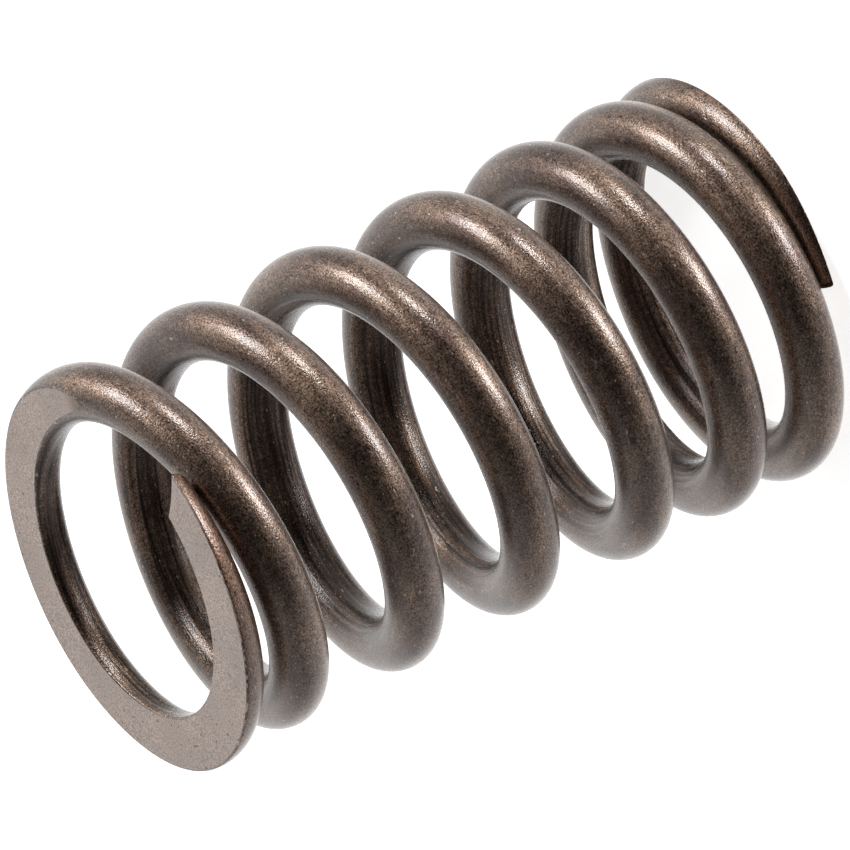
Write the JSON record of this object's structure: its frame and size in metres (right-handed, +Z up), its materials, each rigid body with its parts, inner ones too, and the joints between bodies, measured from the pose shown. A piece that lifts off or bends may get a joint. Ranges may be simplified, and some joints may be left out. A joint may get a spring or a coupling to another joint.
{
  "type": "engine valve spring",
  "caption": "Coiled compression spring of round wire, with closed ends ground flat, that holds an engine valve shut.",
  "frame": {"origin": "middle of the lower ground face, on the coil axis, at the closely wound end", "axes": "+Z up the coil axis towards the widely wound end; the lower cut tip of the wire points along -Y at +X"},
  "size_m": [0.0319, 0.0319, 0.0556],
  "materials": {
    "spring_wire": "satin dark bronze coating on drawn alloy steel wire, with bare ground steel on the two end faces"
  },
  "bodies": {
    "root": {"valve_spring": "spring_wire"}
  },
  "joints": []
}
